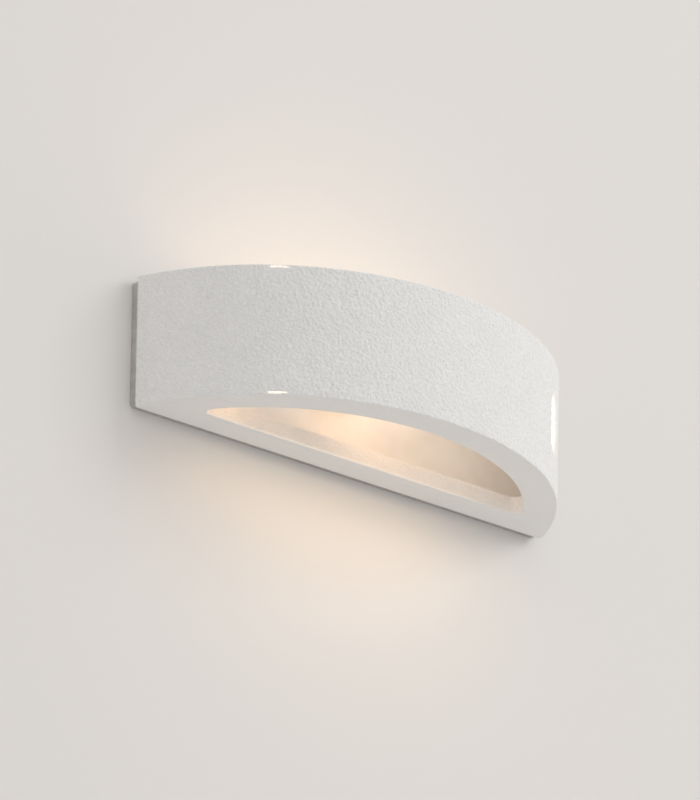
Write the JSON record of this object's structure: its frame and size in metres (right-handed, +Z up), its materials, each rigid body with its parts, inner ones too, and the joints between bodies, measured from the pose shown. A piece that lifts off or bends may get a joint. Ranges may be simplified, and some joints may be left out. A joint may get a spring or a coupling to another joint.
{
  "type": "wall light",
  "caption": "Plaster wall light, D-shaped in plan and open above and below, with one lamp lying along a shallow steel back plate.",
  "frame": {"origin": "on the wall's surface, midway between the two wall fixing slots", "axes": "+X to the right along the wall as seen from the room, +Y into the wall, +Z up"},
  "size_m": [0.3, 0.1053, 0.08],
  "materials": {
    "plaster": "matt cast plaster, hammered outside, smooth rims",
    "white_steel": "white coated face, bare zinc on the folded edges and the back",
    "zinc_steel": "bright zinc plate",
    "nickel_brass": "nickel plate",
    "brass": "plain",
    "porcelain": "unglazed white porcelain",
    "frosted_bulb": "frosted, lit warm white",
    "white_plastic": "matt",
    "led_phosphor": "yellow phosphor",
    "board_green": "solder mask",
    "black_glass": "black glass insulator",
    "grey_rubber": "moulded rubber",
    "brown_insulation": "heat resistant insulation",
    "blue_insulation": "heat resistant insulation",
    "green_insulation": "green and yellow insulation"
  },
  "bodies": {
    "wall_frame": {"back_plate": "white_steel", "bracket_rivets": "zinc_steel", "cable_grommet": "grey_rubber", "earth_ring_terminal": "nickel_brass", "earth_screw": "brass", "earth_washer": "zinc_steel", "holder_nipple": "zinc_steel", "lampholder_body": "porcelain", "lampholder_bracket": "white_steel", "lampholder_centre_contact": "brass", "lampholder_shell": "nickel_brass", "lampholder_terminals": "brass", "nipple_nut": "zinc_steel", "nipple_washer": "zinc_steel", "shade_hanger_left": "zinc_steel", "shade_hanger_right": "zinc_steel", "terminal_barrels": "brass", "terminal_fixing_screw": "zinc_steel", "terminal_housing": "white_plastic", "terminal_screws": "zinc_steel", "wire_earth": "green_insulation", "wire_live": "brown_insulation", "wire_neutral": "blue_insulation"},
    "lamp": {"lamp_bulb": "frosted_bulb", "lamp_cap": "nickel_brass", "lamp_collar": "white_plastic", "lamp_contact": "brass", "lamp_driver_board": "board_green", "lamp_insulator": "black_glass", "lamp_led_board": "white_plastic", "lamp_leds": "led_phosphor"},
    "shade": {"plaster_shade": "plaster", "rim_sleeve_left": "zinc_steel", "rim_sleeve_right": "zinc_steel", "shade_washer_left": "zinc_steel", "shade_washer_right": "zinc_steel"},
    "shade_nut_left": {"shade_nut_left": "zinc_steel"},
    "shade_nut_right": {"shade_nut_right": "zinc_steel"},
    "shade_screw_left": {"shade_screw_left": "zinc_steel"},
    "shade_screw_right": {"shade_screw_right": "zinc_steel"}
  },
  "joints": [
    {"name": "shade_slide", "type": "slide", "parent": "wall_frame", "child": "shade", "axis": [0, -1, 0], "range_m": [0, 0.12]},
    {"name": "lamp_slide", "type": "slide", "parent": "wall_frame", "child": "lamp", "axis": [1, 0, 0], "range_m": [0, 0.025]},
    {"name": "shade_screw_left_turn", "type": "hinge", "parent": "shade", "child": "shade_screw_left", "pos_m": [-0.108, -0.01465, 0.036], "axis": [0, 0, 1], "range_deg": [0, 1080]},
    {"name": "shade_nut_left_travel", "type": "slide", "parent": "shade", "child": "shade_nut_left", "axis": [0, 0, -1], "range_m": [0, 0.0021]},
    {"name": "shade_screw_right_turn", "type": "hinge", "parent": "shade", "child": "shade_screw_right", "pos_m": [0.108, -0.01465, 0.036], "axis": [0, 0, 1], "range_deg": [0, 1080]},
    {"name": "shade_nut_right_travel", "type": "slide", "parent": "shade", "child": "shade_nut_right", "axis": [0, 0, -1], "range_m": [0, 0.0021]}
  ],
  "couplings": [
    {"joint": "shade_screw_left_turn", "follows": "shade_nut_left_travel", "rad_per_m": 8976},
    {"joint": "shade_screw_right_turn", "follows": "shade_nut_right_travel", "rad_per_m": 8976}
  ]
}
